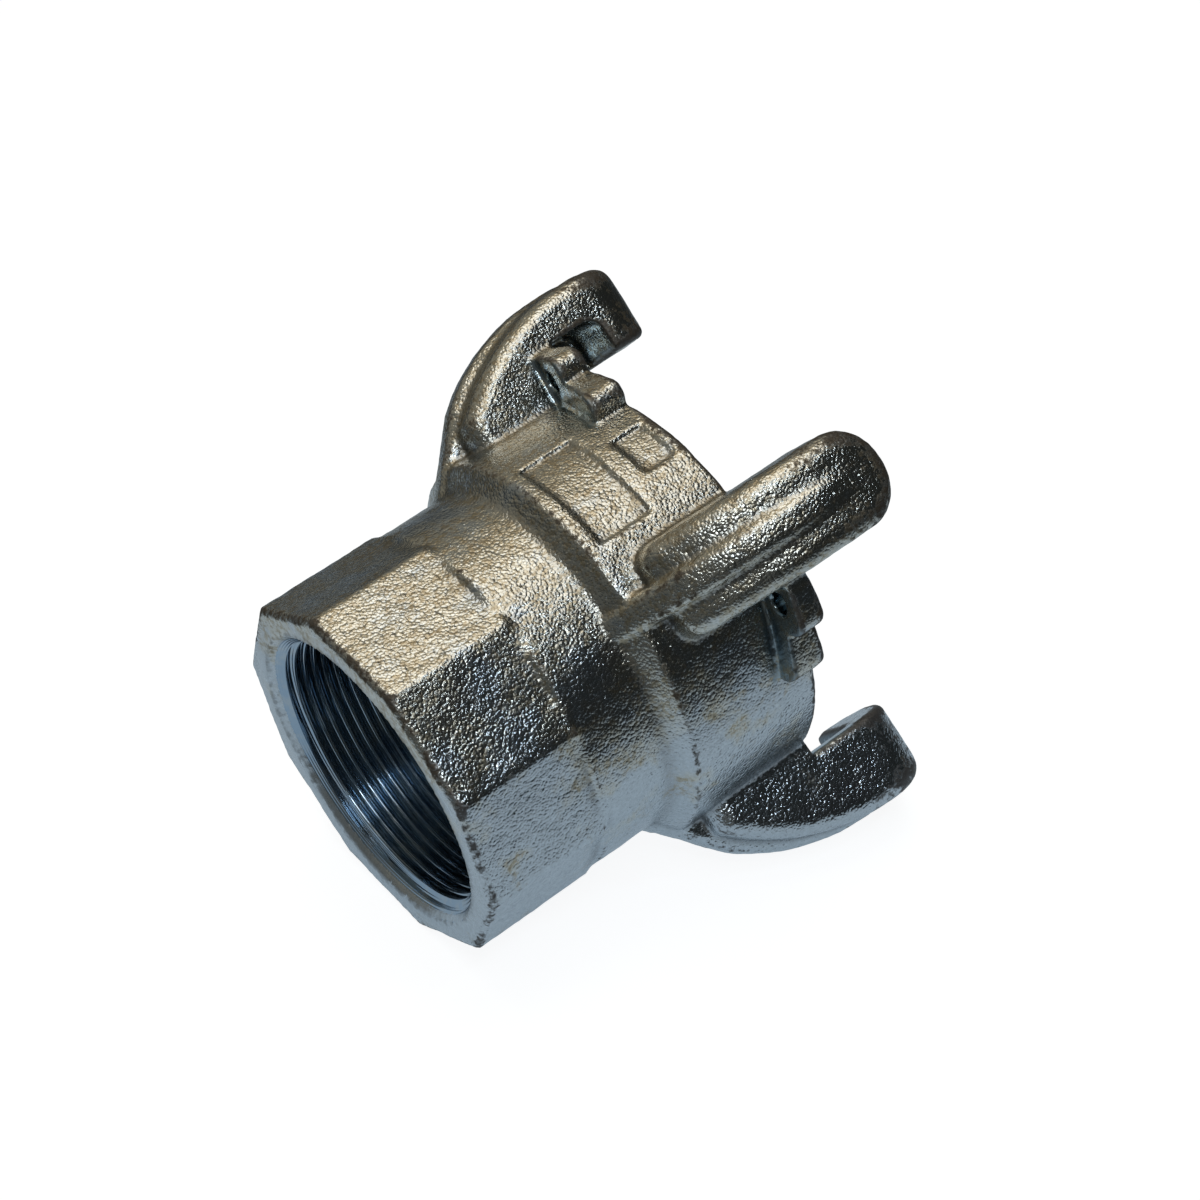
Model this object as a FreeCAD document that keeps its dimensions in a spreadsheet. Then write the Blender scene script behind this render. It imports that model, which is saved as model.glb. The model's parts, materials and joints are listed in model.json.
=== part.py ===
import FreeCAD, Part
import math
import os
import Sketcher

# Crowfoot hose coupling half: a cast, four-hook quick coupling head with a female pipe thread
# and a rubber face gasket.
#
# Both pieces are drawn about the coupling's own axis: X runs from the threaded mouth (X = 0)
# towards the hooks, and the first hook stands along +Y. At the end they are laid down as the
# real one comes to rest: on a hook, a flange and one corner of the wrench end, with +Z up.

doc = FreeCAD.newDocument("CrowfootCoupling")

# Driving sizes, in millimetres and degrees
SIZES = {
    # mouth, thread and waterway
    "thread_radius": 28.2,
    "thread_length": 28.0,
    "mouth_chamfer": 3.1,
    "waterway_step": 2.8,
    "waterway_entry_length": 3.0,
    # wrench end, a prism with flats
    "wrench_corner_height": 0.8,
    "wrench_length": 26.8,
    "wrench_corner_round": 1.6,
    "wrench_rim_chamfer": 0.9,
    # turned outline of barrel and head
    "barrel_wall": 8.6,
    "barrel_length": 15.6,
    "shoulder_height": 4.2,
    "shoulder_length": 3.4,
    "shoulder_cove": 2.4,
    "shoulder_round": 1.4,
    "head_length": 29.3,
    "head_edge_round": 0.8,
    # hooks, one at each quarter turn
    "hook_half_width": 9.6,
    "hook_setback": 5.2,
    "hook_root_depth": 2.5,
    "hook_rear_round": 4.2,
    "hook_edge_round": 3.6,
    "hook_tip_flat": 1.2,
    "toe_length": 10.2,
    "toe_lift": 1.8,
    "toe_round": 1.5,
    "crown_thickness": 8.0,
    "crown_peak_setback": 10.4,
    "crown_arc": 50.0,
    # slot in each hook that takes the mating half's cam flange
    "slot_depth": 8.8,
    "slot_length": 11.1,
    "slot_corner_round": 3.0,
    "slot_closed_angle": 6.5,
    "slot_open_angle": 20.0,
    # rib along the hook's crown
    "rib_width": 6.4,
    "rib_foot_overlap": 0.8,
    "rib_foot_height": 0.6,
    "rib_knee_setback": 2.0,
    "rib_knee_height": 9.0,
    "rib_end_setback": 6.4,
    "rib_end_sink": 0.3,
    "rib_arc": 46.0,
    "rib_edge_round": 2.0,
    # cam flange beside each hook, in two steps
    "flange_thickness": 8.2,
    "flange_clearance": 0.6,
    "high_step_angle": 23.5,
    "low_step_drop": 5.0,
    "low_step_span": 13.5,
    "step_end_round": 3.0,
    "step_front_round": 1.2,
    "cam_rise": 4.4,
    "pin_hole_radius": 2.2,
    "pin_hole_height": 4.8,
    "pin_hole_angle": 15.8,
    # shallow, bare panels on the head
    "panel_depth": 0.8,
    "panel_angle": 37.0,
    "large_panel_setback": 3.0,
    "large_panel_length": 12.2,
    "large_panel_span": 34.0,
    "panel_gap": 4.2,
    "small_panel_length": 7.4,
    "small_panel_span": 14.5,
    # gasket and its undercut seat in the head's front
    "seat_depth": 6.6,
    "seat_undercut": 2.2,
    "lip_thickness": 3.0,
    "lip_clearance": 1.6,
    "gasket_setback": 1.0,
    "gasket_nose_thickness": 6.2,
    "gasket_proud": 3.2,
    "gasket_clearance": 0.3,
    "gasket_edge_round": 0.8,
}
HOOKS = 4
WRENCH_SIDES = 10

FULL_TURN = 360

# A cut runs this far past the face that it leaves by, in millimetres, or in degrees round the axis
OVERCUT = 2.0

# Points closer than this are one point, and an edge is tested at this many of its points
NEAR = 0.01
EDGE_POINTS = 7

sheet = doc.addObject("Spreadsheet::Sheet", "Sizes")
for row, (alias, size) in enumerate(SIZES.items(), start=1):
    sheet.set(f"A{row}", alias)
    sheet.set(f"B{row}", str(size))
    sheet.setAlias(f"B{row}", alias)
doc.recompute()


class Length:
    """A size with the expression that ties it to the sheet, so that sums of sizes stay bound."""

    def __init__(self, value, text):
        self.value = value
        self.text = text

    @staticmethod
    def of(other):
        return other if isinstance(other, Length) else Length(float(other), str(other))

    def __add__(self, other):
        other = Length.of(other)
        return Length(self.value + other.value, f"({self.text} + {other.text})")

    def __sub__(self, other):
        other = Length.of(other)
        return Length(self.value - other.value, f"({self.text} - {other.text})")

    def __mul__(self, other):
        other = Length.of(other)
        return Length(self.value * other.value, f"({self.text} * {other.text})")

    def __truediv__(self, other):
        other = Length.of(other)
        return Length(self.value / other.value, f"({self.text} / {other.text})")

    def __neg__(self):
        return Length(-self.value, f"(0 - {self.text})")

    def along(self, angle):
        """The share of this length along a direction that stands at an angle in degrees."""
        return Length(self.value * math.cos(math.radians(angle.value)), f"({self.text} * cos({angle.text}))")

    def across(self, angle):
        """The share of this length across a direction that stands at an angle in degrees."""
        return Length(self.value * math.sin(math.radians(angle.value)), f"({self.text} * sin({angle.text}))")


def sized(alias):
    return Length(float(sheet.get(alias)), f"Sizes.{alias}")


def bind(feature, prop, length):
    feature.setExpression(prop, Length.of(length).text)


# Sketches

def new_sketch(body, name, role, turned=None):
    """A sketch on one of the body's own origin planes, or on that plane turned about X."""
    sketch = body.newObject("Sketcher::SketchObject", name)
    plane = next(item for item in body.Origin.OriginFeatures if item.Role == role)
    sketch.AttachmentSupport = [(plane, "")]
    sketch.MapMode = "FlatFace"
    if turned:
        bind(sketch, "AttachmentOffset.Rotation.Angle", turned)
        bind(sketch, "AttachmentOffset.Rotation.Axis.x", Length.of(1))
        bind(sketch, "AttachmentOffset.Rotation.Axis.z", Length.of(0))
    return sketch


def constrain(sketch, kind, length, *where):
    index = sketch.addConstraint(Sketcher.Constraint(kind, *where, length.value))
    sketch.setExpression(f"Constraints[{index}]", length.text)


def pin_point(sketch, edge, end, x, y):
    """Holds one end of an edge at two named sizes from the sketch's origin."""
    constrain(sketch, "DistanceX", Length.of(x), edge, end)
    constrain(sketch, "DistanceY", Length.of(y), edge, end)


def arc_between(start, end, radius):
    """The short arc from start to end that bulges to the left of the way between them."""
    chord = end - start
    half = chord.Length / 2
    height = radius - math.sqrt(radius ** 2 - half ** 2)
    left = FreeCAD.Vector(-chord.y, chord.x, 0).normalize()
    return Part.Arc(start, (start + end) * 0.5 + left * height, end)


def outline(body, name, role, corners, turned=None):
    """A closed outline. A corner is (x, y), or (x, y, radius) where an arc runs on from it."""
    sketch = new_sketch(body, name, role, turned)
    count = len(corners)
    points = [FreeCAD.Vector(Length.of(corner[0]).value, Length.of(corner[1]).value, 0) for corner in corners]
    starts = []
    for i, corner in enumerate(corners):
        end = points[(i + 1) % count]
        if len(corner) == 3:
            sketch.addGeometry(arc_between(points[i], end, corner[2].value))
        else:
            sketch.addGeometry(Part.LineSegment(points[i], end))
        # an arc keeps its ends in anticlockwise order, so its start may be its second point
        starts.append(1 if sketch.getPoint(i, 1).distanceToPoint(points[i]) < NEAR else 2)
    for i, corner in enumerate(corners):
        before = (i - 1) % count
        sketch.addConstraint(Sketcher.Constraint("Coincident", before, 3 - starts[before], i, starts[i]))
        pin_point(sketch, i, starts[i], corner[0], corner[1])
        if len(corner) == 3:
            constrain(sketch, "Radius", corner[2], i)
    return sketch


def add_circle(sketch, x, y, radius):
    index = sketch.addGeometry(Part.Circle(FreeCAD.Vector(x.value, y.value, 0), FreeCAD.Vector(0, 0, 1), radius.value))
    pin_point(sketch, index, 3, x, y)
    constrain(sketch, "Radius", radius, index)


# Features

def add(body, kind, name, sketch, **settings):
    feature = body.newObject(f"PartDesign::{kind}", name)
    feature.Profile = sketch
    for prop, value in settings.items():
        if isinstance(value, Length):
            bind(feature, prop, value)
        else:
            setattr(feature, prop, value)
    doc.recompute()
    return feature


def turn(body, kind, name, sketch, back=None, onward=None):
    """A Revolution or Groove about X: all the way round, or from one angle back to one onward."""
    axis = (sketch, ["H_Axis"])
    if onward is None:
        return add(body, kind, name, sketch, ReferenceAxis=axis, Angle=FULL_TURN)
    return add(body, kind, name, sketch, ReferenceAxis=axis, Type="TwoAngles", Angle=onward, Angle2=back)


def edges_where(shape, test):
    """Names of the edges whose points all pass a test."""
    names = []
    for number, edge in enumerate(shape.Edges, start=1):
        if all(test(point) for point in edge.discretize(EDGE_POINTS)):
            names.append(f"Edge{number}")
    return names


def from_axis(point):
    return math.hypot(point.y, point.z)


def same(value, length):
    return abs(value - length.value) < NEAR


def dress(body, kind, name, test, size):
    """A Fillet or Chamfer on those edges of the body so far that pass a test."""
    base = body.Tip
    feature = body.newObject(f"PartDesign::{kind}", name)
    feature.Base = (base, edges_where(base.Shape, test))
    bind(feature, "Radius" if kind == "Fillet" else "Size", size)
    doc.recompute()
    return feature


# Stations along the axis, from the mouth forwards
wrench_length = sized("wrench_length")
shoulder_rear = wrench_length + sized("barrel_length")
shoulder_front = shoulder_rear + sized("shoulder_length")
hook_rear = shoulder_front + sized("hook_setback")
head_front = shoulder_front + sized("head_length")
slot_front = head_front + sized("slot_length")
hook_tip = slot_front + sized("toe_length")

# Radii, from the pipe's thread outwards
thread_radius = sized("thread_radius")
mouth_radius = thread_radius + sized("mouth_chamfer")
barrel_radius = thread_radius + sized("barrel_wall")
head_radius = barrel_radius + sized("shoulder_height")
hook_root = head_radius - sized("hook_root_depth")
hook_inner = head_radius + sized("toe_lift")
slot_ceiling = hook_inner + sized("slot_depth")
crown_radius = slot_ceiling + sized("crown_thickness")

# The casting, first one hook with its flange

casting = doc.addObject("PartDesign::Body", "CouplingBody")
casting.Label = "coupling_body"
half_width = sized("hook_half_width")

# Hook block: its plan has a round front end and softer rear corners
hook_plan = outline(casting, "HookPlan", "XZ_Plane", [
    (hook_rear, -half_width),
    (hook_tip, -half_width),
    (hook_tip, half_width),
    (hook_rear, half_width),
])
add(casting, "Pad", "HookBlock", hook_plan, Reversed=True, Length=crown_radius + OVERCUT)
dress(casting, "Fillet", "HookTipPlan",
      lambda point: same(point.x, hook_tip) and same(abs(point.z), half_width),
      half_width - sized("hook_tip_flat") * 0.5)
dress(casting, "Fillet", "HookRearPlan",
      lambda point: same(point.x, hook_rear) and same(abs(point.z), half_width),
      sized("hook_rear_round"))

# Underside: the block ends inside the head's wall, and at the hook's inner face in front of it
underside = outline(casting, "HookUnderside", "XY_Plane", [
    (hook_rear - OVERCUT, -OVERCUT),
    (hook_rear - OVERCUT, hook_root),
    (head_front, hook_root),
    (head_front, hook_inner),
    (hook_tip + OVERCUT, hook_inner),
    (hook_tip + OVERCUT, -OVERCUT),
])
add(casting, "Pocket", "HookUndersideCut", underside, SideType="Symmetric", Type="ThroughAll")

# Crown: everything outside one long arc comes off the block
crown_peak = hook_tip - sized("crown_peak_setback")
crown_arc = sized("crown_arc")
crown_centre = crown_radius - crown_arc
crown = outline(casting, "HookCrown", "XY_Plane", [
    (crown_peak - crown_arc - OVERCUT, crown_centre - crown_arc - OVERCUT),
    (crown_peak + crown_arc + OVERCUT, crown_centre - crown_arc - OVERCUT),
    (crown_peak + crown_arc + OVERCUT, crown_centre + crown_arc + OVERCUT * 2),
    (crown_peak - crown_arc - OVERCUT, crown_centre + crown_arc + OVERCUT * 2),
])
add_circle(crown, crown_peak, crown_centre, crown_arc)
add(casting, "Pocket", "HookCrownCut", crown, SideType="Symmetric", Type="ThroughAll")
dress(casting, "Fillet", "HookEdges",
      lambda point: same(math.hypot(point.x - crown_peak.value, point.y - crown_centre.value), crown_arc),
      sized("hook_edge_round"))


# Rib: a body of its own, because its rounded top runs out into the crown. It climbs from the
# shoulder, follows the crown and sinks into it near the tip.
rib = doc.addObject("PartDesign::Body", "HookRib")
rib_foot = shoulder_rear - sized("rib_foot_overlap")
rib_foot_radius = barrel_radius + sized("rib_foot_height")
rib_knee = hook_rear + sized("rib_knee_setback")
rib_end = hook_tip - sized("rib_end_setback")
rib_end_radius = crown_radius - sized("rib_end_sink")
rib_profile = outline(rib, "RibProfile", "XY_Plane", [
    (rib_foot, hook_root - OVERCUT),
    (rib_foot, rib_foot_radius),
    (rib_knee, head_radius + sized("rib_knee_height"), sized("rib_arc")),
    (rib_end, rib_end_radius),
    (rib_end, slot_ceiling),
    (hook_rear + OVERCUT, hook_root - OVERCUT),
])
add(rib, "Pad", "RibPad", rib_profile, SideType="Symmetric", Length=sized("rib_width"))


def on_rib_top(point):
    """Whether a point of the rib lies on or above the straight line from its foot to its end."""
    climb = (rib_end_radius.value - rib_foot_radius.value) / (rib_end.value - rib_foot.value)
    return point.y > rib_foot_radius.value + climb * (point.x - rib_foot.value) - NEAR


dress(rib, "Fillet", "RibEdges",
      lambda point: same(abs(point.z), sized("rib_width") * 0.5) and on_rib_top(point),
      sized("rib_edge_round"))
join_rib = casting.newObject("PartDesign::Boolean", "HookWithRib")
join_rib.Type = "Fuse"
join_rib.addObject(rib)
doc.recompute()

# Slot: it opens towards the axis and to one side, and a wall closes the other side
slot_corner = sized("slot_corner_round")
slot = outline(casting, "HookSlot", "XY_Plane", [
    (head_front, hook_root),
    (head_front, slot_ceiling),
    (slot_front - slot_corner, slot_ceiling, slot_corner),
    (slot_front, slot_ceiling - slot_corner),
    (slot_front, hook_root),
])
turn(casting, "Groove", "HookSlotCut", slot, back=sized("slot_closed_angle"), onward=sized("slot_open_angle"))
dress(casting, "Fillet", "HookToeEdges",
      lambda point: same(point.y, hook_inner) and point.x > slot_front.value - NEAR,
      sized("toe_round"))

# Cam flange: a high step beside the hook and a low step beyond it. It is a body of its own, because
# its cam is cut right through to where it starts, hidden in the hook.
flange = doc.addObject("PartDesign::Body", "CamFlange")
flange_rear = head_front - sized("flange_thickness")
high_step_radius = slot_ceiling - sized("flange_clearance")
low_step_radius = high_step_radius - sized("low_step_drop")
high_step_angle = sized("high_step_angle")
low_step_angle = high_step_angle + sized("low_step_span")
step_end_round = sized("step_end_round")


def flange_step(name, radius, angle):
    step = outline(flange, f"{name}Outline", "XY_Plane", [
        (flange_rear, hook_root),
        (flange_rear, radius),
        (head_front, radius),
        (head_front, hook_root),
    ])
    turn(flange, "Revolution", name, step, back=Length.of(0), onward=angle)


def around_axis(point):
    return math.degrees(math.atan2(point.z, point.y))


flange_step("HighStep", high_step_radius, high_step_angle)
flange_step("LowStep", low_step_radius, low_step_angle)
for name, radius, angle in (("HighStepEnd", high_step_radius, high_step_angle),
                            ("LowStepEnd", low_step_radius, low_step_angle)):
    dress(flange, "Fillet", name,
          lambda point: same(from_axis(point), radius) and same(around_axis(point), angle),
          step_end_round)
dress(flange, "Fillet", "StepFronts",
      lambda point: same(point.x, head_front) and from_axis(point) > (low_step_radius - step_end_round).value,
      sized("step_front_round"))

# The flange's rear face is the cam: it runs forwards, so that the flange is thinner, towards the hook
cam_lead = sized("cam_rise") / low_step_angle
cut_front = flange_rear - cam_lead * OVERCUT
cut_rear = cut_front - sized("cam_rise") - OVERCUT
cam_cut = outline(flange, "CamCutOutline", "XY_Plane", [
    (cut_front, hook_root - OVERCUT),
    (cut_front, high_step_radius + OVERCUT),
    (cut_rear, high_step_radius + OVERCUT),
    (cut_rear, hook_root - OVERCUT),
], turned=low_step_angle + OVERCUT)
add(flange, "SubtractiveHelix", "CamCut", cam_cut, ReferenceAxis=(cam_cut, ["H_Axis"]), LeftHanded=True,
    Mode="pitch-height-angle", Pitch=cam_lead * FULL_TURN, Height=cam_lead * (low_step_angle + OVERCUT * 2))

# Hole for a safety pin through the high step
pin_circle = head_radius + sized("pin_hole_height")
pin_angle = sized("pin_hole_angle")
pin_hole = new_sketch(flange, "PinHole", "YZ_Plane")
add_circle(pin_hole, pin_circle.along(pin_angle), pin_circle.across(pin_angle), sized("pin_hole_radius"))
add(flange, "Pocket", "PinHoleCut", pin_hole, Reversed=True, Type="ThroughAll")
join_flange = casting.newObject("PartDesign::Boolean", "HookWithFlange")
join_flange.Type = "Fuse"
join_flange.addObject(flange)
doc.recompute()

# The same hook and flange at every quarter turn
hooks = casting.newObject("PartDesign::PolarPattern", "Hooks")
hooks.TransformMode = "Whole shape"
hooks.Axis = (hook_plan, ["H_Axis"])
hooks.Angle = FULL_TURN
hooks.Occurrences = HOOKS
casting.Tip = hooks
doc.recompute()

# Barrel and head: turned, as a body of its own so that its shoulder is rounded all the way round
trunk = doc.addObject("PartDesign::Body", "BarrelAndHead")
trunk_outline = outline(trunk, "TrunkOutline", "XY_Plane", [
    (wrench_length, 0),
    (wrench_length, barrel_radius),
    (shoulder_rear, barrel_radius),
    (shoulder_front, head_radius),
    (head_front, head_radius),
    (head_front, 0),
])
turn(trunk, "Revolution", "Trunk", trunk_outline)
dress(trunk, "Fillet", "ShoulderCove",
      lambda point: same(point.x, shoulder_rear) and same(from_axis(point), barrel_radius),
      sized("shoulder_cove"))
dress(trunk, "Fillet", "ShoulderRound",
      lambda point: same(point.x, shoulder_front) and same(from_axis(point), head_radius),
      sized("shoulder_round"))
dress(trunk, "Fillet", "HeadFrontEdge",
      lambda point: same(point.x, head_front) and same(from_axis(point), head_radius),
      sized("head_edge_round"))

# Wrench end: ten flats between rounded corners, and a chamfered rim at the mouth
corner_radius = barrel_radius + sized("wrench_corner_height")
flats = new_sketch(trunk, "WrenchFlats", "YZ_Plane")
add_circle(flats, Length.of(0), Length.of(0), corner_radius)
flats.toggleConstruction(0)
for side in range(WRENCH_SIDES):
    angles = [math.radians(FULL_TURN / WRENCH_SIDES) * (side + half) for half in (-0.5, 0.5)]
    ends = [FreeCAD.Vector(math.cos(angle), math.sin(angle), 0) * corner_radius.value for angle in angles]
    flats.addGeometry(Part.LineSegment(*ends))
flats.addConstraint(Sketcher.Constraint("Vertical", 1))
for side in range(1, WRENCH_SIDES + 1):
    onward = side % WRENCH_SIDES + 1
    flats.addConstraint(Sketcher.Constraint("Coincident", side, 2, onward, 1))
    flats.addConstraint(Sketcher.Constraint("PointOnObject", side, 2, 0))
    if side > 1:
        flats.addConstraint(Sketcher.Constraint("Equal", 1, side))
add(trunk, "Pad", "WrenchEnd", flats, Length=wrench_length)
dress(trunk, "Fillet", "WrenchCorners",
      lambda point: same(from_axis(point), corner_radius) and point.x < wrench_length.value + NEAR,
      sized("wrench_corner_round"))
dress(trunk, "Chamfer", "WrenchRim",
      lambda point: same(point.x, Length.of(0)),
      sized("wrench_rim_chamfer"))
join_trunk = casting.newObject("PartDesign::Boolean", "HooksOnHead")
join_trunk.Type = "Fuse"
join_trunk.addObject(trunk)
doc.recompute()

# Mouth, thread bore, waterway and the undercut seat behind the front lip
thread_length = sized("thread_length")
waterway_radius = thread_radius - sized("waterway_step")
gasket_inner = waterway_radius + sized("gasket_setback")
nose_radius = gasket_inner + sized("gasket_nose_thickness")
lip_radius = nose_radius + sized("lip_clearance")
seat_radius = lip_radius + sized("seat_undercut")
seat_floor = head_front - sized("seat_depth")
lip_rear = head_front - sized("lip_thickness")
passage = outline(casting, "Passage", "XY_Plane", [
    (-OVERCUT, 0),
    (-OVERCUT, mouth_radius),
    (0, mouth_radius),
    (sized("mouth_chamfer"), thread_radius),
    (thread_length, thread_radius),
    (thread_length + sized("waterway_entry_length"), waterway_radius),
    (seat_floor, waterway_radius),
    (seat_floor, seat_radius),
    (lip_rear, seat_radius),
    (lip_rear, lip_radius),
    (head_front + OVERCUT, lip_radius),
    (head_front + OVERCUT, 0),
])
turn(casting, "Groove", "PassageCut", passage)


# Two shallow panels between the first hook and the one before it
def panel(name, rear, front, span):
    field = outline(casting, f"{name}Outline", "XY_Plane", [
        (rear, head_radius - sized("panel_depth")),
        (rear, head_radius + OVERCUT),
        (front, head_radius + OVERCUT),
        (front, head_radius - sized("panel_depth")),
    ], turned=-sized("panel_angle"))
    half_span = sized(span) * 0.5
    turn(casting, "Groove", name, field, back=half_span, onward=half_span)


large_panel_rear = shoulder_front + sized("large_panel_setback")
large_panel_front = large_panel_rear + sized("large_panel_length")
small_panel_rear = large_panel_front + sized("panel_gap")
small_panel_front = small_panel_rear + sized("small_panel_length")
panel("LargePanel", large_panel_rear, large_panel_front, "large_panel_span")
panel("SmallPanel", small_panel_rear, small_panel_front, "small_panel_span")

# The gasket: a wide base held in the seat by the lip, and a narrower nose that stands proud

gasket = doc.addObject("PartDesign::Body", "FaceGasket")
gasket.Label = "face_gasket"
clearance = sized("gasket_clearance")
gasket_outline = outline(gasket, "GasketOutline", "XY_Plane", [
    (seat_floor, gasket_inner),
    (seat_floor, seat_radius - clearance),
    (lip_rear - clearance, seat_radius - clearance),
    (lip_rear - clearance, nose_radius),
    (head_front + sized("gasket_proud"), nose_radius),
    (head_front + sized("gasket_proud"), gasket_inner),
])
turn(gasket, "Revolution", "GasketRing", gasket_outline)
dress(gasket, "Fillet", "GasketNoseEdges",
      lambda point: same(point.x, head_front + sized("gasket_proud")),
      sized("gasket_edge_round"))

# Laid down as the real one comes to rest. It starts with two hooks pointing down either side, then
# turns a little at a time towards any pose that holds its centre of mass lower, until none does.

PARTS = [casting, gasket]
ROLL_AT_START = (0.25 + 0.5 / HOOKS) * FULL_TURN
FIRST_TURN = 4.0
LAST_TURN = 0.001
WAYS_TO_TURN = 12
FACET_ERROR = 0.1
facet_points, _ = casting.Shape.tessellate(FACET_ERROR)
outer_points = [point for point in facet_points if from_axis(point) > mouth_radius.value]
mass_centre = casting.Shape.CenterOfGravity


def laid(roll, pitch):
    """The coupling's turn: a roll about its own axis, then a lift of the hooks' end."""
    lift = FreeCAD.Rotation(FreeCAD.Vector(0, 1, 0), -pitch)
    return lift * FreeCAD.Rotation(FreeCAD.Vector(1, 0, 0), roll)


def centre_height(pose):
    """How high the centre of mass stands above the floor, in a pose given as roll and pitch."""
    up = laid(*pose).inverted().multVec(FreeCAD.Vector(0, 0, 1))
    return mass_centre.dot(up) - min(point.dot(up) for point in under_points)


pose = (ROLL_AT_START, 0)
under_points = [point for point in outer_points if laid(*pose).multVec(point).z < 0]
turn_size = FIRST_TURN
while turn_size > LAST_TURN:
    ways = [math.radians(FULL_TURN / WAYS_TO_TURN) * way for way in range(WAYS_TO_TURN)]
    tries = [(pose[0] + turn_size * math.cos(way), pose[1] + turn_size * math.sin(way)) for way in ways]
    lower = min(tries, key=centre_height)
    if centre_height(lower) < centre_height(pose):
        pose = lower
    else:
        turn_size /= 2

# The origin is on the floor, below the middle of the casting
resting = [laid(*pose).multVec(point) for point in outer_points]
xs, ys, zs = ([point[axis] for point in resting] for axis in range(3))
middle = FreeCAD.Vector((min(xs) + max(xs)) / 2, (min(ys) + max(ys)) / 2, min(zs))
for part in PARTS:
    part.Placement = FreeCAD.Placement(-middle, laid(*pose))
doc.recompute()

# Nothing is written unless every object is sound
for item in doc.Objects:
    if {"Invalid", "Error"} & set(item.State):
        raise RuntimeError(f"{item.Name} did not build")
for part in PARTS:
    if part.Shape.isNull() or not part.Shape.isValid():
        raise RuntimeError(f"{part.Label} has no valid shape")

os.makedirs("parts", exist_ok=True)
for part in PARTS:
    part.Shape.exportStep(f"parts/{part.Label}.step")
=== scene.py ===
import json
import math

import bpy
import numpy as np
from mathutils import Matrix, Vector, noise


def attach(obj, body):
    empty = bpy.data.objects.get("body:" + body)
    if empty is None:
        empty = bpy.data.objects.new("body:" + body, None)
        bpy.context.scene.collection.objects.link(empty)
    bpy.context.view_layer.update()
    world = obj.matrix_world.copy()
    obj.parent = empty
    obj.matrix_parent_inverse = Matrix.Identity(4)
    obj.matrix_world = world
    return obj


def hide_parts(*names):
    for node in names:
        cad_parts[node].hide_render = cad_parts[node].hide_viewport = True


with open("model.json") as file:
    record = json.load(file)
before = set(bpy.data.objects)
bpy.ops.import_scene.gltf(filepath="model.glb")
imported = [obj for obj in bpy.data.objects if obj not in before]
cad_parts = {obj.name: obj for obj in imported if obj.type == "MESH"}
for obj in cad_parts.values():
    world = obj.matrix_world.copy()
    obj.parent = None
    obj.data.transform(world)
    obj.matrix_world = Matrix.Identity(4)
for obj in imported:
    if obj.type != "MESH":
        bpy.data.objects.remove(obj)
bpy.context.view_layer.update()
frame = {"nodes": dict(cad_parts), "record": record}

# Camera: it stands where the photograph was taken from, above the threaded end and to one side of
# it, with a long lens. Places are in metres from the origin, on the floor under the coupling.
CAMERA_PLACE = Vector((-0.25751, -0.34326, 0.40297))
CAMERA_AIM = Vector((0.00758, -0.00016, 0.05048))
CAMERA_ROLL = math.radians(-1.728)
CAMERA_LENS = 87.82

camera = bpy.data.objects.new("photo_camera", bpy.data.cameras.new("photo_camera"))
camera.data.lens = CAMERA_LENS
facing = (CAMERA_AIM - CAMERA_PLACE).to_track_quat("-Z", "Y").to_matrix().to_4x4()
camera.matrix_world = Matrix.Translation(CAMERA_PLACE) @ facing @ Matrix.Rotation(CAMERA_ROLL, 4, "Z")
bpy.context.scene.collection.objects.link(camera)
bpy.context.scene.camera = camera
bpy.context.scene.view_settings.view_transform = "Standard"


# Casting: malleable iron poured in a sand mould, machined where it seals, turns or takes a pin, then
# zinc-plated. The solid gives its form; the mould's soft corners and uneven skin are worked in here,
# in the coupling's own frame: X along its axis from the mouth, and Y towards one hook.
MM = 0.001
HOOKS = 4
COUPLING_ROLL = math.radians(134.223)
HEAD_FRONT = 75.1 * MM
HEAD_RADIUS = 41.0 * MM
MOUTH_RADIUS = 31.3 * MM
MOUTH_FACE_RADIUS = 34.4 * MM
SLOT_FRONT = 86.2 * MM
SLOT_CEILING = 51.6 * MM
HOOK_HALF_WIDTH = 9.6 * MM
FLANGE_REAR = 66.9 * MM
FLANGE_RADIUS = 51.0 * MM
FLANGE_ANGLE = 37.0
CAM_RISE = 4.4 * MM
CAM_RELIEF = 1.8 * MM
PIN_CIRCLE = 45.8 * MM
PIN_ANGLE = 15.8
PIN_REACH = 2.9 * MM

# The bore, which a thread's ridge is wound into later, its foot a little in the wall
THREAD_END = 27.4 * MM
THREAD_DEPTH = 1.4 * MM
THREAD_TAPER = 1 / 32
CREST_AT_MOUTH = 28.35 * MM
RIDGE_FOOT = 0.35 * MM
RIDGE_DEPTH = THREAD_DEPTH + RIDGE_FOOT
FOOT_IN_WALL = 0.05 * MM
BORE_END = THREAD_END + 0.6 * MM
BORE_REACH = MOUTH_RADIUS + 0.3 * MM

# Where tools have cut: a range along the axis and one out from it, each with its low end, its high end
# and the width of its soft borders. A cam's first range is measured from its own sloping face, and a
# pin hole's second one from the hole's middle. NO_END lies below everything.
NO_END = -1
MOUTH_FACE_ZONE = (NO_END, 0.5 * MM, 0.4 * MM), (0, MOUTH_FACE_RADIUS, 0.8 * MM)
BORE_ZONE = (NO_END, HEAD_FRONT + 0.5 * MM, 0.5 * MM), (NO_END, MOUTH_RADIUS + 0.8 * MM, 0.6 * MM)
FRONT_ZONE = (HEAD_FRONT - 0.6 * MM, HEAD_FRONT + 0.6 * MM, 0.4 * MM), (0, HEAD_RADIUS - 0.8 * MM, 0.5 * MM)
CAM_ZONE = (-CAM_RELIEF, 0.9 * MM, 0.5 * MM), (HEAD_RADIUS - 2 * MM, FLANGE_RADIUS - 0.2 * MM, 0.4 * MM)
CAM_SPAN = (8, FLANGE_ANGLE + 1, 1.5)
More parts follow.
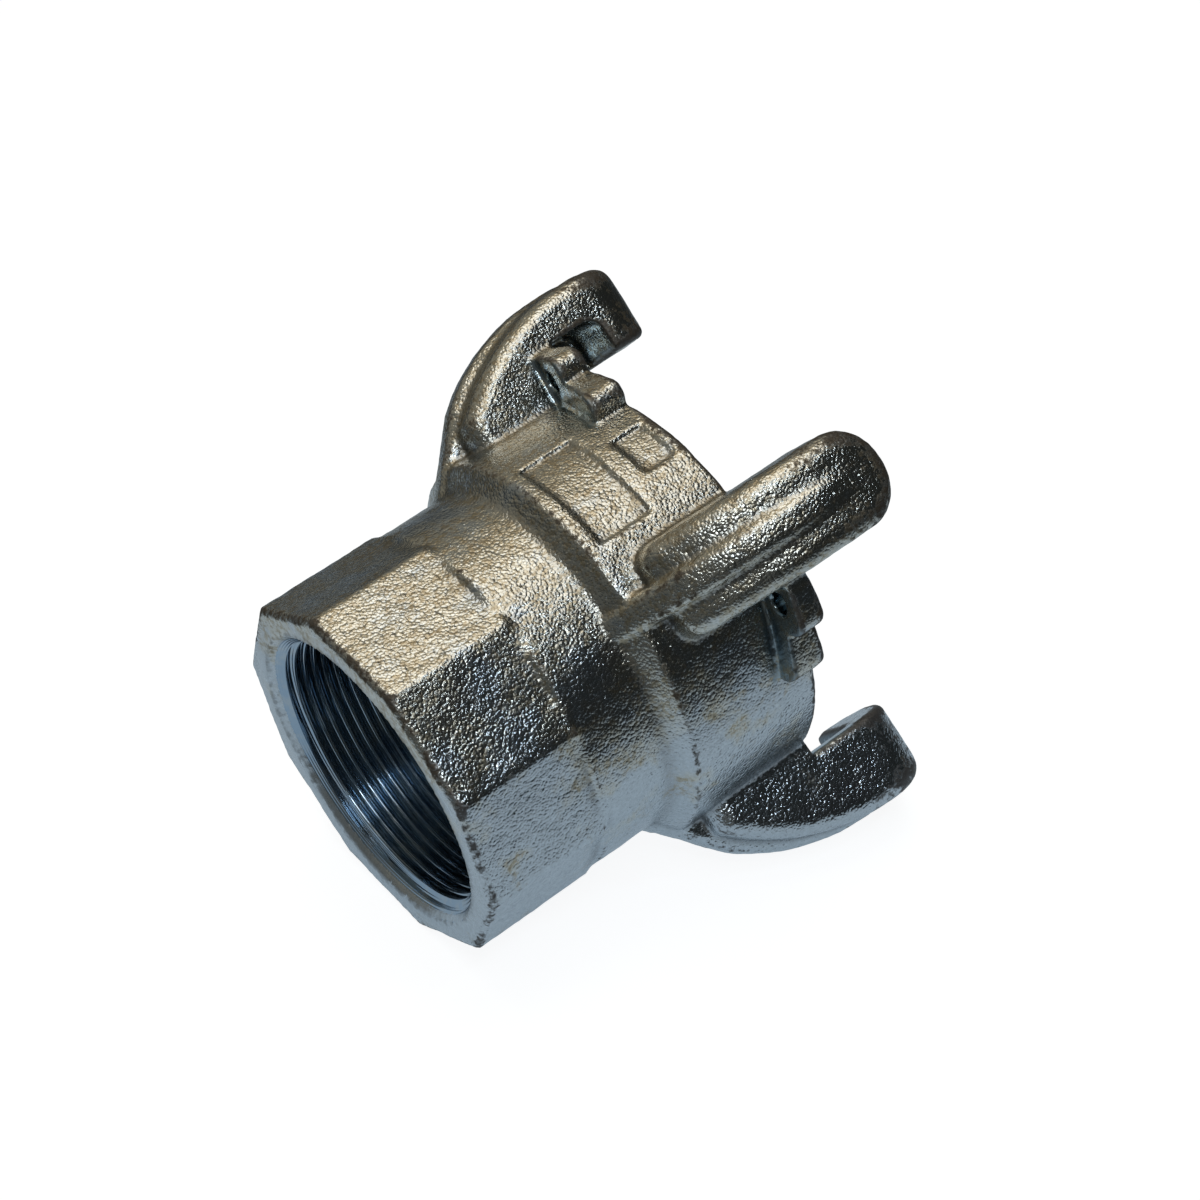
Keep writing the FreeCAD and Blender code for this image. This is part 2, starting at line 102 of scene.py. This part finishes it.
PIN_HOLE_ZONE = (FLANGE_REAR - CAM_RELIEF, HEAD_FRONT + 1 * MM, 0.5 * MM), (NO_END, PIN_REACH, 0.5 * MM)
SLOT_ZONE = (
    (HEAD_FRONT, SLOT_FRONT + 0.6 * MM, 0.5 * MM),
    (HEAD_RADIUS - 1 * MM, SLOT_CEILING + 0.5 * MM, 0.6 * MM),
)
SLOT_SPAN = (NO_END, HOOK_HALF_WIDTH - 0.4 * MM, 0.6 * MM)
CAM_CUT = 0.85
SLOT_CUT = 0.75

# The mould's work: evening out, soft corners, lumps in the skin (size and depth), and worn hooks
WELD_REACH = 0.002 * MM
VOXEL = 0.5 * MM
ON_FACE = 0.6 * VOXEL
CORNER_PASSES = 2
SKIN_PASSES = 1
SOFTENING = 0.6
SKIN_LUMPS = ((5.5 * MM, 0.12 * MM), (2.2 * MM, 0.07 * MM), (1.2 * MM, 0.05 * MM))
EDGE_BEND = 0.03 * MM
EDGE_PASSES = 8
EDGE_SPREAD = 0.5
WORN_FROM = 74.0 * MM
WORN_OVER = 14.0 * MM
CASTING_TRIANGLES = 190000

mounts = {mount["name"]: mount for mount in frame["record"]["mounts"]}
axis = Vector(mounts["pin_holes"]["axis"]).normalized()
mouth_centre = Vector(mounts["pin_holes"]["pos_m"]) - axis * HEAD_FRONT
lift = Matrix.Rotation(-math.asin(axis.z), 4, "Y")
own_to_row = Matrix.Translation(mouth_centre) @ lift @ Matrix.Rotation(COUPLING_ROLL, 4, "X")


def new_piece(name, mesh):
    piece = bpy.data.objects.new(name, mesh)
    bpy.context.scene.collection.objects.link(piece)
    return piece


def finish_modifiers(piece):
    """Works a piece's modifiers into its mesh."""
    shaped = bpy.data.meshes.new_from_object(piece.evaluated_get(bpy.context.evaluated_depsgraph_get()))
    piece.modifiers.clear()
    piece.data = shaped


def read_points(mesh):
    points = np.empty(len(mesh.vertices) * 3, np.float32)
    mesh.vertices.foreach_get("co", points)
    return points.reshape(-1, 3).astype(np.float64)


def read_edges(mesh):
    edges = np.empty(len(mesh.edges) * 2, np.int32)
    mesh.edges.foreach_get("vertices", edges)
    return edges.reshape(-1, 2)


def read_normals(mesh):
    normals = np.empty(len(mesh.vertices) * 3, np.float32)
    mesh.vertex_normals.foreach_get("vector", normals)
    return normals.reshape(-1, 3).astype(np.float64)


def write_points(mesh, points):
    mesh.vertices.foreach_set("co", points.astype(np.float32).ravel())
    mesh.update()


def mark(mesh, name, values):
    """Keeps a value for each vertex, for the material to read."""
    attribute = mesh.attributes.new(name, "FLOAT", "POINT")
    attribute.data.foreach_set("value", np.asarray(values, np.float32))


def spread(values, edges):
    """For each vertex, how much the vertices that it is joined to have more of a value, on average."""
    ends = np.concatenate((edges[:, 0], edges[:, 1]))
    others = np.concatenate((edges[:, 1], edges[:, 0]))
    count = np.bincount(ends, minlength=len(values))
    return np.bincount(ends, weights=values[others], minlength=len(values)) / np.maximum(count, 1) - values


def towards_neighbours(points, edges):
    """For each vertex, the way to the middle of the vertices that it is joined to."""
    return np.stack([spread(points[:, k], edges) for k in range(3)], axis=1)


def in_range(values, ends):
    """1 inside a range and 0 outside it, with soft borders."""
    low, high, border = ends
    return np.clip((values - low) / border, 0, 1) * np.clip((high - values) / border, 0, 1)


def in_zone(along, out, zone):
    return in_range(along, zone[0]) * in_range(out, zone[1])


def turned_share(points):
    """1 where the lathe has cut: the mouth's face, the bore and the front."""
    x, y, z = points.T
    radius = np.hypot(y, z)
    return np.maximum.reduce([in_zone(x, radius, zone) for zone in (MOUTH_FACE_ZONE, BORE_ZONE, FRONT_ZONE)])


def milled_share(points):
    """1 where the mill and the drill have cut: the cam faces, the pin holes and the hooks' slots."""
    x, y, z = points.T
    radius = np.hypot(y, z)
    quarter = 360 / HOOKS
    past_hook = np.degrees(np.arctan2(z, y)) % quarter
    cam_face = FLANGE_REAR + CAM_RISE * (1 - past_hook / FLANGE_ANGLE)
    cam = in_zone(x - cam_face, radius, CAM_ZONE) * in_range(past_hook, CAM_SPAN)
    past_pin = np.radians(past_hook - PIN_ANGLE)
    from_pin = np.hypot(radius * np.cos(past_pin) - PIN_CIRCLE, radius * np.sin(past_pin))
    hole = in_zone(x, from_pin, PIN_HOLE_ZONE)
    across_hook = radius * np.sin(np.radians((past_hook + quarter / 2) % quarter - quarter / 2))
    slot = in_zone(x, radius, SLOT_ZONE) * in_range(np.abs(across_hook), SLOT_SPAN)
    return np.maximum.reduce([CAM_CUT * cam, hole, SLOT_CUT * slot])


def cast_share(points):
    """How much of the mould's skin a place has: 1 as cast, 0 where a tool has cut."""
    return 1 - np.maximum(turned_share(points), milled_share(points))


def soften(mesh):
    """Fills the inner corners as a mould's fillets do, then takes the edge off the outer ones."""
    points = read_points(mesh)
    edges = read_edges(mesh)
    share = cast_share(points)[:, None]
    for _ in range(CORNER_PASSES):
        write_points(mesh, points)
        way = towards_neighbours(points, edges)
        outward = np.einsum("ij,ij->i", way, read_normals(mesh))[:, None] > 0
        points += way * share * np.where(outward, SOFTENING, 0.0)
    for _ in range(SKIN_PASSES):
        points += towards_neighbours(points, edges) * share * SOFTENING
    write_points(mesh, points)


def open_bore(mesh):
    """Trues the mouth's face, and opens the bore until only the ridge's foot is in its wall."""
    points = read_points(mesh)
    radius = np.hypot(points[:, 1], points[:, 2])
    mouth_face = (np.abs(points[:, 0]) < ON_FACE) & (radius < MOUTH_FACE_RADIUS)
    points[mouth_face, 0] = 0
    wall = CREST_AT_MOUTH + RIDGE_DEPTH - FOOT_IN_WALL - THREAD_TAPER * points[:, 0]
    in_bore = (radius < BORE_REACH) & (points[:, 0] < BORE_END)
    bored = np.where(in_bore, np.maximum(radius, wall), radius)
    points[:, 1:] *= (bored / np.maximum(radius, VOXEL))[:, None]
    write_points(mesh, points)


def mark_bends(mesh):
    """Marks outer edges, which wear, and inner corners, which the finish darkens."""
    edges = read_edges(mesh)
    bend = towards_neighbours(read_points(mesh), edges)
    bend = np.einsum("ij,ij->i", bend, read_normals(mesh)) / EDGE_BEND
    for _ in range(EDGE_PASSES):
        bend = bend + spread(bend, edges) * EDGE_SPREAD
    mark(mesh, "edge", np.clip(-bend, 0, 1))
    mark(mesh, "hollow", np.clip(bend, 0, 1))


def roughen(mesh):
    """The uneven skin that the sand leaves."""
    points = read_points(mesh)
    height = np.zeros(len(points))
    for size, depth in SKIN_LUMPS:
        height += depth * np.array([noise.noise(Vector(point) / size) for point in points])
    write_points(mesh, points + read_normals(mesh) * (height * cast_share(points))[:, None])


cast_mesh = frame["nodes"]["coupling_body"].data.copy()
cast_mesh.transform(own_to_row.inverted())
casting = new_piece("coupling_casting", cast_mesh)
casting.modifiers.new("joined", "WELD").merge_threshold = WELD_REACH
remesh = casting.modifiers.new("even", "REMESH")
remesh.mode = "VOXEL"
remesh.voxel_size = VOXEL
finish_modifiers(casting)
soften(casting.data)
open_bore(casting.data)
mark_bends(casting.data)
roughen(casting.data)
triangles = sum(len(face.vertices) - 2 for face in casting.data.polygons)
casting.modifiers.new("fewer", "DECIMATE").ratio = CASTING_TRIANGLES / triangles
finish_modifiers(casting)

cast_points = read_points(casting.data)
mark(casting.data, "cast_skin", cast_share(cast_points))
mark(casting.data, "milled", milled_share(cast_points))
mark(casting.data, "worn", np.clip((cast_points[:, 0] - WORN_FROM) / WORN_OVER, 0, 1))
mark(casting.data, "turned_radius", np.hypot(cast_points[:, 1], cast_points[:, 2]) / MM)
casting.data.shade_smooth()
casting.data.transform(own_to_row)


class Wire:
    """A socket of a node tree. Sums of wires and numbers add the tree's own Math nodes."""

    def __init__(self, socket):
        self.socket = socket
        self.tree = socket.id_data

    @staticmethod
    def node(tree, kind, settings=None, sockets=None, output=0):
        """A new node: its settings are set first, then its sockets get values or links."""
        node = tree.nodes.new(kind)
        for name, value in (settings or {}).items():
            setattr(node, name, value)
        for name, value in (sockets or {}).items():
            if isinstance(value, Wire):
                tree.links.new(value.socket, node.inputs[name])
            else:
                node.inputs[name].default_value = value
        return Wire(node.outputs[output])

    def maths(self, operation, first, second=0.0, clamp=False):
        settings = {"operation": operation, "use_clamp": clamp}
        return Wire.node(self.tree, "ShaderNodeMath", settings, {0: first, 1: second})

    def __add__(self, other):
        return self.maths("ADD", self, other)

    __radd__ = __add__

    def __mul__(self, other):
        return self.maths("MULTIPLY", self, other)

    __rmul__ = __mul__

    def __sub__(self, other):
        return self.maths("SUBTRACT", self, other)

    def __rsub__(self, other):
        return self.maths("SUBTRACT", other, self)

    def above(self, edge, width):
        """0 below an edge and 1 above it, with a soft step of a given width."""
        return self.maths("MULTIPLY", self - edge, 1 / width, clamp=True)

    def wave(self):
        return self.maths("SINE", self)


def blended(tree, share, first, second):
    """One colour or the other, by share."""
    settings = {"data_type": "RGBA"}
    return Wire.node(tree, "ShaderNodeMix", settings, {0: share, 6: first, 7: second}, output=2)


class Finish:
    """A material in the making: its patterns are laid out in the object's own metres."""

    def __init__(self, name):
        self.material = bpy.data.materials.new(name)
        self.material.use_nodes = True
        self.tree = self.material.node_tree
        self.shader = self.tree.nodes["Principled BSDF"]
        self.place = Wire.node(self.tree, "ShaderNodeTexCoord", output="Object")

    def attribute(self, name):
        return Wire.node(self.tree, "ShaderNodeAttribute", {"attribute_name": name}, output="Fac")

    def noise(self, size, detail=2.0, roughness=0.5):
        """Cloudy noise whose lumps are about this size, in metres."""
        sockets = {"Vector": self.place, "Scale": 1 / size, "Detail": detail, "Roughness": roughness}
        return Wire.node(self.tree, "ShaderNodeTexNoise", {}, sockets)

    def pimples(self, size):
        """The distance to the nearest of many scattered points, which are about this far apart."""
        sockets = {"Vector": self.place, "Scale": 1 / size}
        return Wire.node(self.tree, "ShaderNodeTexVoronoi", {"feature": "F1"}, sockets)

    def mix(self, share, first, second):
        return blended(self.tree, share, first, second)

    def bump(self, height, distance):
        return Wire.node(self.tree, "ShaderNodeBump", {}, {"Height": height, "Distance": distance})

    def set(self, **sockets):
        for name, value in sockets.items():
            socket = self.shader.inputs[name.replace("_", " ")]
            if isinstance(value, Wire):
                self.tree.links.new(value.socket, socket)
            else:
                socket.default_value = value


# Its finish: bright bluish zinc over the sand's grain, with yellow patches of film that grow yellower higher
# up, a painted warm light from above. Its cut faces are a dark blue that is partly painted shade and cool
# reflection.
# It is stained in places, darker and rougher in its inner corners, and burnt dark on worn edges and towards
# the hooks' ends.
ZINC_BLUE = (0.60, 0.65, 0.69, 1)
ZINC_YELLOW_AND_WARM_LIGHT = (0.655, 0.64, 0.575, 1)
ZINC_DULL = (0.40, 0.42, 0.42, 1)
MILLED_BLUE_AND_SHADE = (0.20, 0.31, 0.38, 1)
NEAR_BLACK = (0.06, 0.045, 0.035, 1)
STAIN = (0.40, 0.31, 0.17, 1)
GRAIN_SIZE = 0.62 * MM
BEAD_SIZE = 1.1 * MM
BEAD_STEP = (0, 0.34)
FINE_GRAIN_SIZE = 0.4 * MM
COARSE_GRAIN_SIZE = 1.9 * MM
SPECK_SIZE = 1.2 * MM
PATCH_SIZE = 9 * MM
MOTTLE_SIZE = 0.8 * MM
MOTTLE_STEP = (0.36, 0.28)
FILM_SIZE = 10 * MM
WARM_LIGHT_HEIGHT = 0.055
WARM_LIGHT_RISE = 5
FILM_STEP = (0.44, 0.14)
SPECK_STEP = (0.46, 0.12)
STAIN_STEP = (0.42, 0.14)
BURNT_STEP = (1.0, 0.14)
MOTTLE_COVER = 0.35
MILLED_TONE_AND_SHADE_COVER = 0.75
STAIN_COVER = 0.65
HOLLOW_DARK_COVER = 0.5
BURNT_COVER = 0.85
BURNT_WHERE_CUT = 0.3
BURNT_METAL_LOSS = 0.4
PLATE_ROUGHNESS = 0.14
RING = 0.42

# Heights in the relief, in millimetres
GRAIN_PIT = -0.105
FINE_GRAIN_HEIGHT = 0.05
COARSE_GRAIN_HEIGHT = 0.06
BEAD_HEIGHT = 0.09
RING_HEIGHT = 0.003

zinc = Finish("zinc_plated_casting")
skin = zinc.attribute("cast_skin")
milled = zinc.attribute("milled")
worn = zinc.attribute("worn")
hollow = zinc.attribute("hollow")
edge = zinc.attribute("edge")
height = Wire.node(zinc.tree, "ShaderNodeSeparateXYZ", {}, {0: zinc.place}, output="Z")
grain = zinc.pimples(GRAIN_SIZE)
bead = 1 - zinc.pimples(BEAD_SIZE).above(*BEAD_STEP)
fine_grain = zinc.noise(FINE_GRAIN_SIZE, detail=1.0)
coarse_grain = zinc.noise(COARSE_GRAIN_SIZE, detail=2.0)
specks = zinc.noise(SPECK_SIZE, detail=4.0, roughness=0.65)
patches = zinc.noise(PATCH_SIZE, detail=3.0, roughness=0.55)
mottle = zinc.noise(MOTTLE_SIZE, detail=3.0, roughness=0.7).above(*MOTTLE_STEP)
# Yellow film in patches: the patches are the zinc's own, and their rise with height is a painted warm light
# from above
film_and_warm_light = zinc.noise(FILM_SIZE, detail=6.0, roughness=0.62) + (height - WARM_LIGHT_HEIGHT) * WARM_LIGHT_RISE
film_and_warm_light = film_and_warm_light.above(*FILM_STEP)
rings = (zinc.attribute("turned_radius") * (2 * math.pi / RING)).wave()

stained = specks.above(*SPECK_STEP) * (patches * 0.7 + film_and_warm_light * 0.2).above(*STAIN_STEP) * STAIN_COVER
# Darker and rougher in the inner corners of the cast skin
hollow_darkening = hollow * skin * HOLLOW_DARK_COVER
burnt = (edge * 0.5 + worn * 0.2 + specks * 0.9 + patches * 0.5).above(*BURNT_STEP)
burnt = burnt * (skin * (1 - BURNT_WHERE_CUT) + BURNT_WHERE_CUT)

tint = zinc.mix(film_and_warm_light, ZINC_BLUE, ZINC_YELLOW_AND_WARM_LIGHT)
for share, colour in (
    (mottle * MOTTLE_COVER, ZINC_DULL),
    # cut faces: partly their own bluer tone, partly painted shade and cool reflection in the slots, holes
    # and cam faces
    (milled * MILLED_TONE_AND_SHADE_COVER, MILLED_BLUE_AND_SHADE),
    (stained, STAIN),
    (hollow_darkening, NEAR_BLACK),
    (burnt * BURNT_COVER, NEAR_BLACK),
):
    tint = zinc.mix(share, tint, colour)

roughness = PLATE_ROUGHNESS
for share, rougher in (
    (patches, 0.1),
    (mottle, 0.05),
    (stained, 0.14),
    (hollow_darkening, 0.2),
    (burnt, 0.3),
    (1 - skin, 0.08),
    (milled, -0.14),
):
    roughness = roughness + share * rougher

relief = grain * grain * GRAIN_PIT + fine_grain * FINE_GRAIN_HEIGHT
relief = relief + coarse_grain * COARSE_GRAIN_HEIGHT + bead * bead * BEAD_HEIGHT
relief = relief * skin + rings * (1 - skin) * RING_HEIGHT
zinc.set(
    Base_Color=tint,
    Metallic=1 - burnt * BURNT_METAL_LOSS,
    Roughness=roughness,
    Normal=zinc.bump(relief, MM),
)


def dress(piece, finish, node):
    """Gives a piece its material, and has it stand for a CAD node or ride on the coupling beside it."""
    piece.data.materials.clear()
    piece.data.materials.append(finish.material)
    if node:
        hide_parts(node)
    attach(piece, "root")


dress(casting, zinc, "coupling_body")


# Thread: a taper pipe thread, cut by a tap and then plated. It is a narrow-topped ridge that winds in
# from the mouth, and the mouth's chamfer cuts its first turns down. Fine tool lines run along it.
THREAD_START = 0.8 * MM
THREAD_PITCH = 2.209 * MM
CREST_FLAT = 0.5 * MM
FLANK_SLOPE = math.tan(math.radians(30))
TURN_POINTS = 240
MOUTH_SETBACK = 0.05 * MM
SHARP_FROM = math.radians(25)
# Both thread colours are zinc that is darker and bluer than the casting's: partly its own tone, partly
# painted shade and cool reflection in the bore
CUT_BLUE_AND_REFLECTION = (0.36, 0.46, 0.56, 1)
CUT_GREY = (0.44, 0.50, 0.55, 1)
BLOTCH_SIZE = 2.5 * MM
BLOTCH_STEP = (0.45, 0.2)
TOOL_LINE = 0.37
TOOL_LINE_DEPTH = 0.017


def winding(sizes):
    """A node group that sweeps a narrow-topped ridge along a spiral, the top towards the axis."""
    tree = bpy.data.node_groups.new("winding", "GeometryNodeTree")
    tree.interface.new_socket("Geometry", in_out="OUTPUT", socket_type="NodeSocketGeometry")
    for name in sizes:
        tree.interface.new_socket(name, in_out="INPUT", socket_type="NodeSocketFloat")
    given = tree.nodes.new("NodeGroupInput").outputs
    spiral = tree.nodes.new("GeometryNodeCurveSpiral")
    spiral.inputs["Resolution"].default_value = TURN_POINTS
    spiral.inputs["Reverse"].default_value = True
    upright = tree.nodes.new("GeometryNodeSetCurveNormal")
    upright.mode = "Z_UP"
    ridge = tree.nodes.new("GeometryNodeCurvePrimitiveQuadrilateral")
    ridge.mode = "TRAPEZOID"
    ridge.inputs["Offset"].default_value = 0
    turned = tree.nodes.new("GeometryNodeTransform")
    turned.inputs["Rotation"].default_value = (0, 0, math.radians(90))
    sweep = tree.nodes.new("GeometryNodeCurveToMesh")
    sweep.inputs["Fill Caps"].default_value = True
    real = tree.nodes.new("GeometryNodeRealizeInstances")
    coat = tree.nodes.new("GeometryNodeSetMaterial")
    result = tree.nodes.new("NodeGroupOutput")
    for source, target in (
        (given["Turns"], spiral.inputs["Rotations"]),
        (given["Start Radius"], spiral.inputs["Start Radius"]),
        (given["End Radius"], spiral.inputs["End Radius"]),
        (given["Length"], spiral.inputs["Height"]),
        (given["Top"], ridge.inputs["Top Width"]),
        (given["Foot"], ridge.inputs["Bottom Width"]),
        (given["Depth"], ridge.inputs["Height"]),
        (spiral.outputs[0], upright.inputs[0]),
        (ridge.outputs[0], turned.inputs[0]),
        (upright.outputs[0], sweep.inputs["Curve"]),
        (turned.outputs[0], sweep.inputs["Profile Curve"]),
        (sweep.outputs[0], real.inputs[0]),
        (real.outputs[0], coat.inputs["Geometry"]),
        (coat.outputs[0], result.inputs[0]),
    ):
        tree.links.new(source, target)
    return tree


thread_length = THREAD_END - THREAD_START
ridge_middle = CREST_AT_MOUTH + RIDGE_DEPTH / 2
thread_sizes = {
    "Turns": thread_length / THREAD_PITCH,
    "Start Radius": ridge_middle - THREAD_TAPER * THREAD_START,
    "End Radius": ridge_middle - THREAD_TAPER * THREAD_END,
    "Length": thread_length,
    "Top": CREST_FLAT,
    "Foot": CREST_FLAT + 2 * FLANK_SLOPE * RIDGE_DEPTH,
    "Depth": RIDGE_DEPTH,
}
thread = new_piece("pipe_thread", bpy.data.meshes.new("pipe_thread"))
wound = thread.modifiers.new("winding", "NODES")
wound.node_group = winding(thread_sizes)
for socket in wound.node_group.interface.items_tree:
    if socket.in_out == "INPUT":
        wound[socket.identifier] = thread_sizes[socket.name]
finish_modifiers(thread)

wound_to_own = Matrix(((0, 0, 1, THREAD_START), (1, 0, 0, 0), (0, 1, 0, 0), (0, 0, 0, 1)))
thread.data.transform(wound_to_own)
thread_points = read_points(thread.data)
thread_points[:, 0] = np.maximum(thread_points[:, 0], MOUTH_SETBACK)
thread_radius = np.hypot(thread_points[:, 1], thread_points[:, 2])
chamfer_radius = MOUTH_RADIUS - thread_points[:, 0]
thread_points[:, 1:] *= (np.maximum(thread_radius, chamfer_radius) / thread_radius)[:, None]
write_points(thread.data, thread_points)
mark(thread.data, "along", thread_points[:, 0] / MM)
thread.data.shade_smooth()
thread.data.set_sharp_from_angle(angle=SHARP_FROM)
thread.data.transform(own_to_row)

cut_zinc = Finish("zinc_plated_thread")
blotches = cut_zinc.noise(BLOTCH_SIZE, detail=4.0, roughness=0.6)
tool_lines = (cut_zinc.attribute("along") * (2 * math.pi / TOOL_LINE)).wave()
cut_zinc.set(
    Base_Color=cut_zinc.mix(blotches.above(*BLOTCH_STEP), CUT_BLUE_AND_REFLECTION, CUT_GREY),
    Metallic=1.0,
    Roughness=0.08 + blotches * 0.14,
    Normal=cut_zinc.bump(tool_lines * TOOL_LINE_DEPTH, MM),
)
dress(thread, cut_zinc, None)


# Gasket: a ring of moulded black rubber with a grey bloom, pressed into its seat in the head's front.
# The solid is used as it is, and only gets its rubber.
RUBBER_BLACK = (0.018, 0.018, 0.02, 1)
RUBBER_BLOOM = (0.05, 0.05, 0.052, 1)
BLOOM_SIZE = 3.5 * MM
BLOOM_STEP = (0.45, 0.3)
RUBBER_GRAIN_SIZE = 0.5 * MM
RUBBER_GRAIN_DEPTH = 0.03 * MM

rubber = Finish("gasket_rubber")
bloom = rubber.noise(BLOOM_SIZE, detail=4.0, roughness=0.6)
rubber.set(
    Base_Color=rubber.mix(bloom.above(*BLOOM_STEP) * 0.5, RUBBER_BLACK, RUBBER_BLOOM),
    Roughness=0.5 + bloom * 0.2,
    Normal=rubber.bump(rubber.noise(RUBBER_GRAIN_SIZE), RUBBER_GRAIN_DEPTH),
)
for place in frame["nodes"]["face_gasket"].material_slots:
    place.material = rubber.material


# Floor: white paper that bears the coupling. Near the coupling it glows cool in the metal's reflections
# only, a painted reflection, and further off its colour turns dark, a painted shade that the metal reflects.
# To the camera it glows up to white, so that only the soft shadow is left on it.
FLOOR_REACH = 3.0
PAPER_NEAR = (0.3, 0.32, 0.34, 1)
PAPER_FAR_PAINTED_DARK = (0.05, 0.055, 0.06, 1)
WHITE_NEAR = (0.9, 0.9, 0.9, 1)
WHITE_FAR = (0.99, 0.99, 0.99, 1)
FAR_STEP = (0.1, 0.2)
COOL_GLOW = (0.28, 0.345, 0.40, 1)
GLOW_STEP = (0.08, 0.22)
GLOW_LOSS = 0.94
NO_GLOW = (0, 0, 0, 1)

floor_mesh = bpy.data.meshes.new("floor")
corners = [(-1, -1), (1, -1), (1, 1), (-1, 1)]
floor_mesh.from_pydata([(x * FLOOR_REACH, y * FLOOR_REACH, 0) for x, y in corners], [], [(0, 1, 2, 3)])
floor = new_piece("floor", floor_mesh)

paper = Finish("white_paper")
seen = Wire.node(paper.tree, "ShaderNodeLightPath", output="Is Camera Ray")
mirrored = Wire.node(paper.tree, "ShaderNodeLightPath", output="Is Glossy Ray")
length = {"operation": "LENGTH"}
away = Wire.node(paper.tree, "ShaderNodeVectorMath", length, {0: paper.place}, output="Value")
far = away.above(*FAR_STEP)
# A cool glow near the coupling that only reflections see: a painted reflection
glow = paper.mix(mirrored * (1 - away.above(*GLOW_STEP) * GLOW_LOSS), NO_GLOW, COOL_GLOW)
paper.set(
    # The paper darkens further off: painted shade, seen in the metal
    Base_Color=paper.mix(far, PAPER_NEAR, PAPER_FAR_PAINTED_DARK),
    Roughness=1.0,
    Specular_IOR_Level=0.0,
    Emission_Color=paper.mix(seen, glow, paper.mix(far, WHITE_NEAR, WHITE_FAR)),
    Emission_Strength=1.0,
)
floor_mesh.materials.append(paper.material)


# Light: soft boxes overhead, a warm one behind, a cool one above the mouth, and two small ones that glint
# in the thread and the grain. The air is dim, dark on one side as the photograph's near faces are, and
# brighter high up behind. To the camera it is white.
LAMP_DISTANCE = 1.2
LAMP_CENTRE = Vector((0, 0, 0.05))
LAMPS = (
    ("overhead_box", (0.03, 0.07, 1.0), 0.85, 3.25, (1.0, 0.985, 0.95)),
    ("warm_box", (0.14, 0.45, 0.88), 0.6, 0.42, (1.0, 0.76, 0.4)),
    ("cool_box", (-0.34, -0.43, 0.84), 0.42, 1.9, (0.86, 0.94, 1.0)),
    ("side_glint", (-0.34, -0.56, 0.76), 0.13, 0.45, (0.84, 0.93, 1.0)),
    ("glint_box", (0.13, -0.48, 0.87), 0.09, 0.5, (0.72, 0.86, 1.0)),
)
AIR = (0.1, 0.105, 0.1, 1)
DARK_AIR = (0.016, 0.018, 0.018, 1)
DARK_WAY = (0.73, -0.64, 0.25)
DARK_STEP = (-0.1, 0.7)
BRIGHT_AIR = (0.26, 0.245, 0.2, 1)
BRIGHT_WAY = (-0.10, 0.62, 0.78)
BRIGHT_STEP = (0.5, 0.45)
WHITE = (1, 1, 1, 1)

for name, way, width, power, colour in LAMPS:
    lamp = bpy.data.lights.new(name, "AREA")
    lamp.size = width
    lamp.energy = power
    lamp.color = colour
    box = bpy.data.objects.new(name, lamp)
    place = Vector(way).normalized() * LAMP_DISTANCE + LAMP_CENTRE
    box.matrix_world = Matrix.Translation(place) @ Vector(way).to_track_quat("Z", "Y").to_matrix().to_4x4()
    bpy.context.scene.collection.objects.link(box)

world = bpy.data.worlds.new("studio")
world.use_nodes = True
sky = world.node_tree
looking = Wire.node(sky, "ShaderNodeTexCoord", output="Generated")


def towards(way):
    """How far a direction of the sky points one way: 1 all the way, and -1 the other way."""
    settings = {"operation": "DOT_PRODUCT"}
    return Wire.node(sky, "ShaderNodeVectorMath", settings, {0: looking, 1: way}, output="Value")


air = blended(sky, towards(DARK_WAY).above(*DARK_STEP), AIR, DARK_AIR)
air = blended(sky, towards(BRIGHT_WAY).above(*BRIGHT_STEP), air, BRIGHT_AIR)
air = blended(sky, Wire.node(sky, "ShaderNodeLightPath", output="Is Camera Ray"), air, WHITE)
sky.links.new(air.socket, sky.nodes["Background"].inputs["Color"])
bpy.context.scene.world = world
